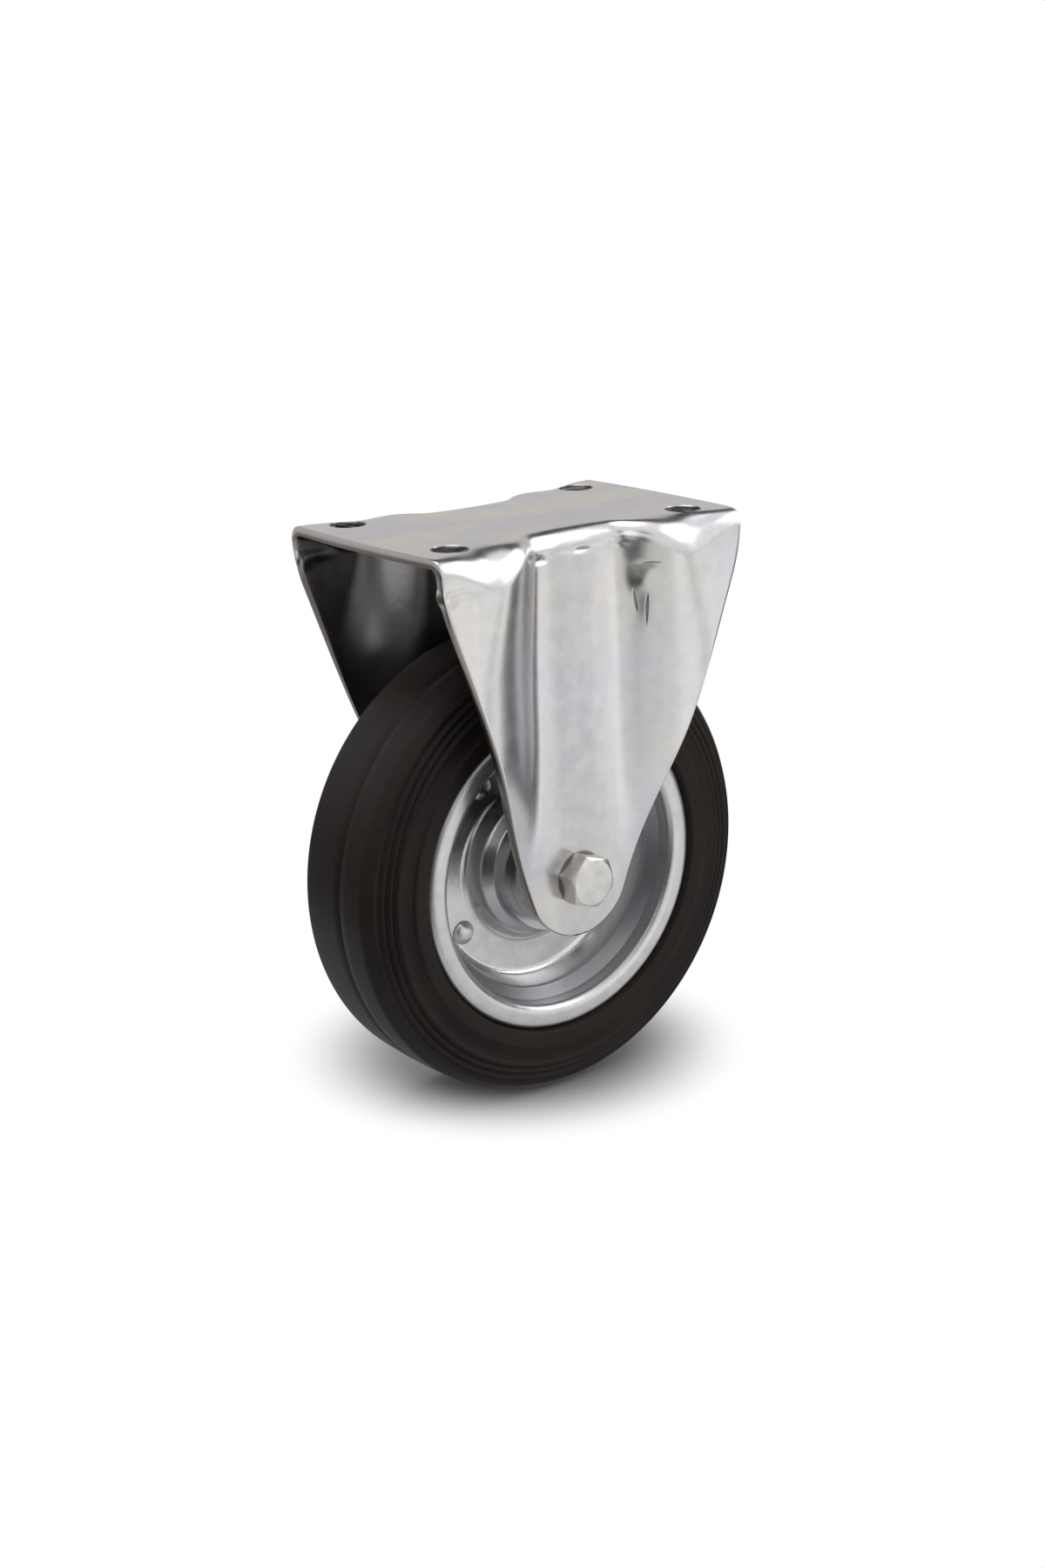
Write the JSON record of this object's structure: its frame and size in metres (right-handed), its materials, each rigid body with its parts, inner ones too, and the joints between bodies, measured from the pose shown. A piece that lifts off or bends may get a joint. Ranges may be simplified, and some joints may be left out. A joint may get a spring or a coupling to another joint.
{
  "type": "fixed castor",
  "caption": "Fixed castor: pressed zinc-plated fork with a flat top plate, and a solid rubber tyred wheel on a riveted steel rim with a roller bearing.",
  "frame": {"origin": "middle of the plate's top face, at the centre of the four bolt holes", "axes": "+Z out of the plate's top face, X is the rolling direction, Y is the axle; the bolt's head is on the -Y side"},
  "size_m": [0.125, 0.0675, 0.1555],
  "materials": {
    "zinc_fork": "bright zinc plate on pressed sheet steel",
    "zinc_rim": "blue-white zinc plate on pressed discs",
    "zinc_fastener": "zinc plated bolt, nut and rivets",
    "bare_steel": "ground steel, lightly greased",
    "black_rubber": "solid black rubber, matt with a slight sheen",
    "nylon": "natural nylon"
  },
  "bodies": {
    "fork": {"fork": "zinc_fork", "axle_bolt": "zinc_fastener", "axle_nut": "zinc_fastener", "nut_insert": "nylon", "axle_sleeve": "bare_steel", "thrust_washer_near": "nylon", "thrust_washer_far": "nylon"},
    "wheel": {"tyre": "black_rubber", "rim_disc_near": "zinc_rim", "rim_disc_far": "zinc_rim", "rim_rivets": "zinc_fastener", "hub_tube": "bare_steel", "bearing_cap_near": "nylon", "bearing_cap_far": "nylon"},
    "cage": {"bearing_cage": "nylon"},
    "roller_01": {"roller_01": "bare_steel"},
    "roller_02": {"roller_02": "bare_steel"},
    "roller_03": {"roller_03": "bare_steel"},
    "roller_04": {"roller_04": "bare_steel"},
    "roller_05": {"roller_05": "bare_steel"},
    "roller_06": {"roller_06": "bare_steel"},
    "roller_07": {"roller_07": "bare_steel"},
    "roller_08": {"roller_08": "bare_steel"},
    "roller_09": {"roller_09": "bare_steel"},
    "roller_10": {"roller_10": "bare_steel"}
  },
  "joints": [
    {"name": "wheel_spin", "type": "hinge", "parent": "fork", "child": "wheel", "pos_m": [0, 0, -0.093], "axis": [0, 1, 0], "continuous": true},
    {"name": "cage_turn", "type": "hinge", "parent": "fork", "child": "cage", "pos_m": [0, 0, -0.093], "axis": [0, 1, 0], "continuous": true},
    {"name": "roller_01_turn", "type": "hinge", "parent": "cage", "child": "roller_01", "pos_m": [0.01, 0, -0.093], "axis": [0, 1, 0], "continuous": true},
    {"name": "roller_02_turn", "type": "hinge", "parent": "cage", "child": "roller_02", "pos_m": [0.00809, 0, -0.08712], "axis": [0, 1, 0], "continuous": true},
    {"name": "roller_03_turn", "type": "hinge", "parent": "cage", "child": "roller_03", "pos_m": [0.00309, 0, -0.08349], "axis": [0, 1, 0], "continuous": true},
    {"name": "roller_04_turn", "type": "hinge", "parent": "cage", "child": "roller_04", "pos_m": [-0.00309, 0, -0.08349], "axis": [0, 1, 0], "continuous": true},
    {"name": "roller_05_turn", "type": "hinge", "parent": "cage", "child": "roller_05", "pos_m": [-0.00809, 0, -0.08712], "axis": [0, 1, 0], "continuous": true},
    {"name": "roller_06_turn", "type": "hinge", "parent": "cage", "child": "roller_06", "pos_m": [-0.01, 0, -0.093], "axis": [0, 1, 0], "continuous": true},
    {"name": "roller_07_turn", "type": "hinge", "parent": "cage", "child": "roller_07", "pos_m": [-0.00809, 0, -0.09888], "axis": [0, 1, 0], "continuous": true},
    {"name": "roller_08_turn", "type": "hinge", "parent": "cage", "child": "roller_08", "pos_m": [-0.00309, 0, -0.10251], "axis": [0, 1, 0], "continuous": true},
    {"name": "roller_09_turn", "type": "hinge", "parent": "cage", "child": "roller_09", "pos_m": [0.00309, 0, -0.10251], "axis": [0, 1, 0], "continuous": true},
    {"name": "roller_10_turn", "type": "hinge", "parent": "cage", "child": "roller_10", "pos_m": [0.00809, 0, -0.09888], "axis": [0, 1, 0], "continuous": true}
  ],
  "couplings": [
    {"joint": "cage_turn", "follows": "wheel_spin", "ratio": 0.6},
    {"joint": "roller_01_turn", "follows": "wheel_spin", "ratio": 2.4},
    {"joint": "roller_02_turn", "follows": "wheel_spin", "ratio": 2.4},
    {"joint": "roller_03_turn", "follows": "wheel_spin", "ratio": 2.4},
    {"joint": "roller_04_turn", "follows": "wheel_spin", "ratio": 2.4},
    {"joint": "roller_05_turn", "follows": "wheel_spin", "ratio": 2.4},
    {"joint": "roller_06_turn", "follows": "wheel_spin", "ratio": 2.4},
    {"joint": "roller_07_turn", "follows": "wheel_spin", "ratio": 2.4},
    {"joint": "roller_08_turn", "follows": "wheel_spin", "ratio": 2.4},
    {"joint": "roller_09_turn", "follows": "wheel_spin", "ratio": 2.4},
    {"joint": "roller_10_turn", "follows": "wheel_spin", "ratio": 2.4}
  ]
}
